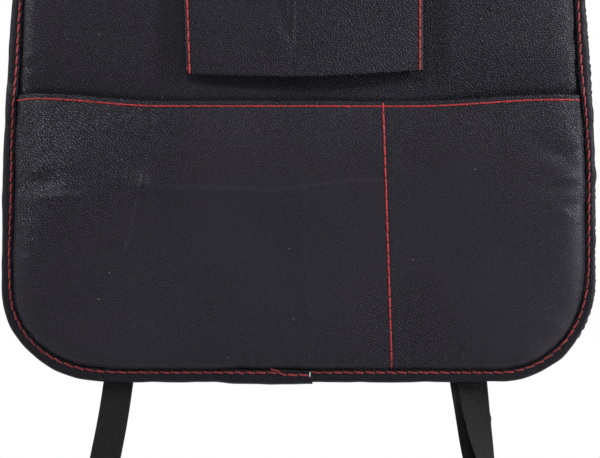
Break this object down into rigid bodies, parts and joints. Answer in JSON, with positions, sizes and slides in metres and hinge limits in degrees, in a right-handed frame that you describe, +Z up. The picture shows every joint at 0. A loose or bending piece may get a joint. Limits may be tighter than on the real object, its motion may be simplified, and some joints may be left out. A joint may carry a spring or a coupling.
{
  "type": "car seat back organizer",
  "caption": "Padded faux leather panel that hangs behind a car seat, with a divided lower pocket, a tissue sleeve, bound edges and elastic straps.",
  "frame": {"origin": "middle of the flat back of the rear lining, which lies against the seat", "axes": "+X to the right as seen from the front, +Y towards the seat, +Z up; the pockets face -Y"},
  "size_m": [0.3994, 0.1119, 0.7436],
  "materials": {
    "faux_leather": "fine grained black faux leather, satin",
    "binding": "folded black faux leather strip, satin",
    "lining": "black non-woven felt, matt and slightly fuzzy",
    "foam": "grey padding foam, matt",
    "webbing": "black ribbed elastic webbing",
    "hook_plastic": "black moulded plastic",
    "thread": "red sewing thread"
  },
  "bodies": {
    "root": {"rear_lining": "lining", "foam_pad": "foam", "front_panel": "faux_leather", "edge_binding": "binding", "edge_seam": "thread", "lower_pocket": "faux_leather", "pocket_hem_seam": "thread", "divider_seam": "thread", "tissue_sleeve": "faux_leather", "sleeve_seam_left": "thread", "sleeve_seam_right": "thread", "headrest_strap": "webbing", "bottom_strap_left": "webbing", "bottom_strap_right": "webbing", "seat_hook_left": "hook_plastic", "seat_hook_right": "hook_plastic"}
  },
  "joints": []
}
